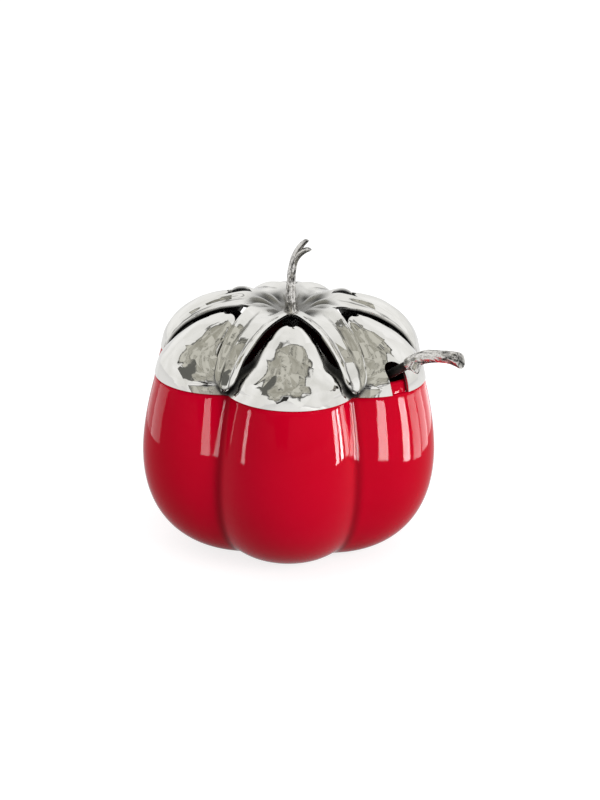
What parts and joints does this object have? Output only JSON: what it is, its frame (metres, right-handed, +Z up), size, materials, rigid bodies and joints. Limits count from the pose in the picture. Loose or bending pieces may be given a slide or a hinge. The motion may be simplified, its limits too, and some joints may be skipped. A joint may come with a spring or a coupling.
{
  "type": "jam pot",
  "caption": "Lobed tomato-shaped jam pot with a silvered lift-off lid of rounded tabs and a leafy calyx, a twig stem knob and a sloping spoon through a slot in the lid.",
  "frame": {"origin": "middle of the pot's foot, on the surface it stands on", "axes": "+Z up along the pot's middle axis, +X through the spoon slot in the lid"},
  "size_m": [0.128, 0.107, 0.1114],
  "materials": {
    "red_enamel": "glossy deep red glaze",
    "polished_silver": "polished silver plate, slightly hand-beaten",
    "bark_silver": "silver plate with a bark texture, darkened in its furrows",
    "fastener_steel": "plain bright steel"
  },
  "bodies": {
    "pot": {"pot_body": "red_enamel"},
    "lid": {"lid_dome": "polished_silver", "calyx": "polished_silver", "stem": "bark_silver", "stem_washer": "fastener_steel", "stem_nut": "fastener_steel"},
    "spoon": {"spoon_bowl": "polished_silver", "spoon_handle": "bark_silver"}
  },
  "joints": [
    {"name": "lid_lift", "type": "slide", "parent": "pot", "child": "lid", "axis": [0, 0, 1], "range_m": [0, 0.06]},
    {"name": "spoon_draw", "type": "slide", "parent": "pot", "child": "spoon", "axis": [0.809, 0, 0.5878], "range_m": [0, 0.025]}
  ]
}
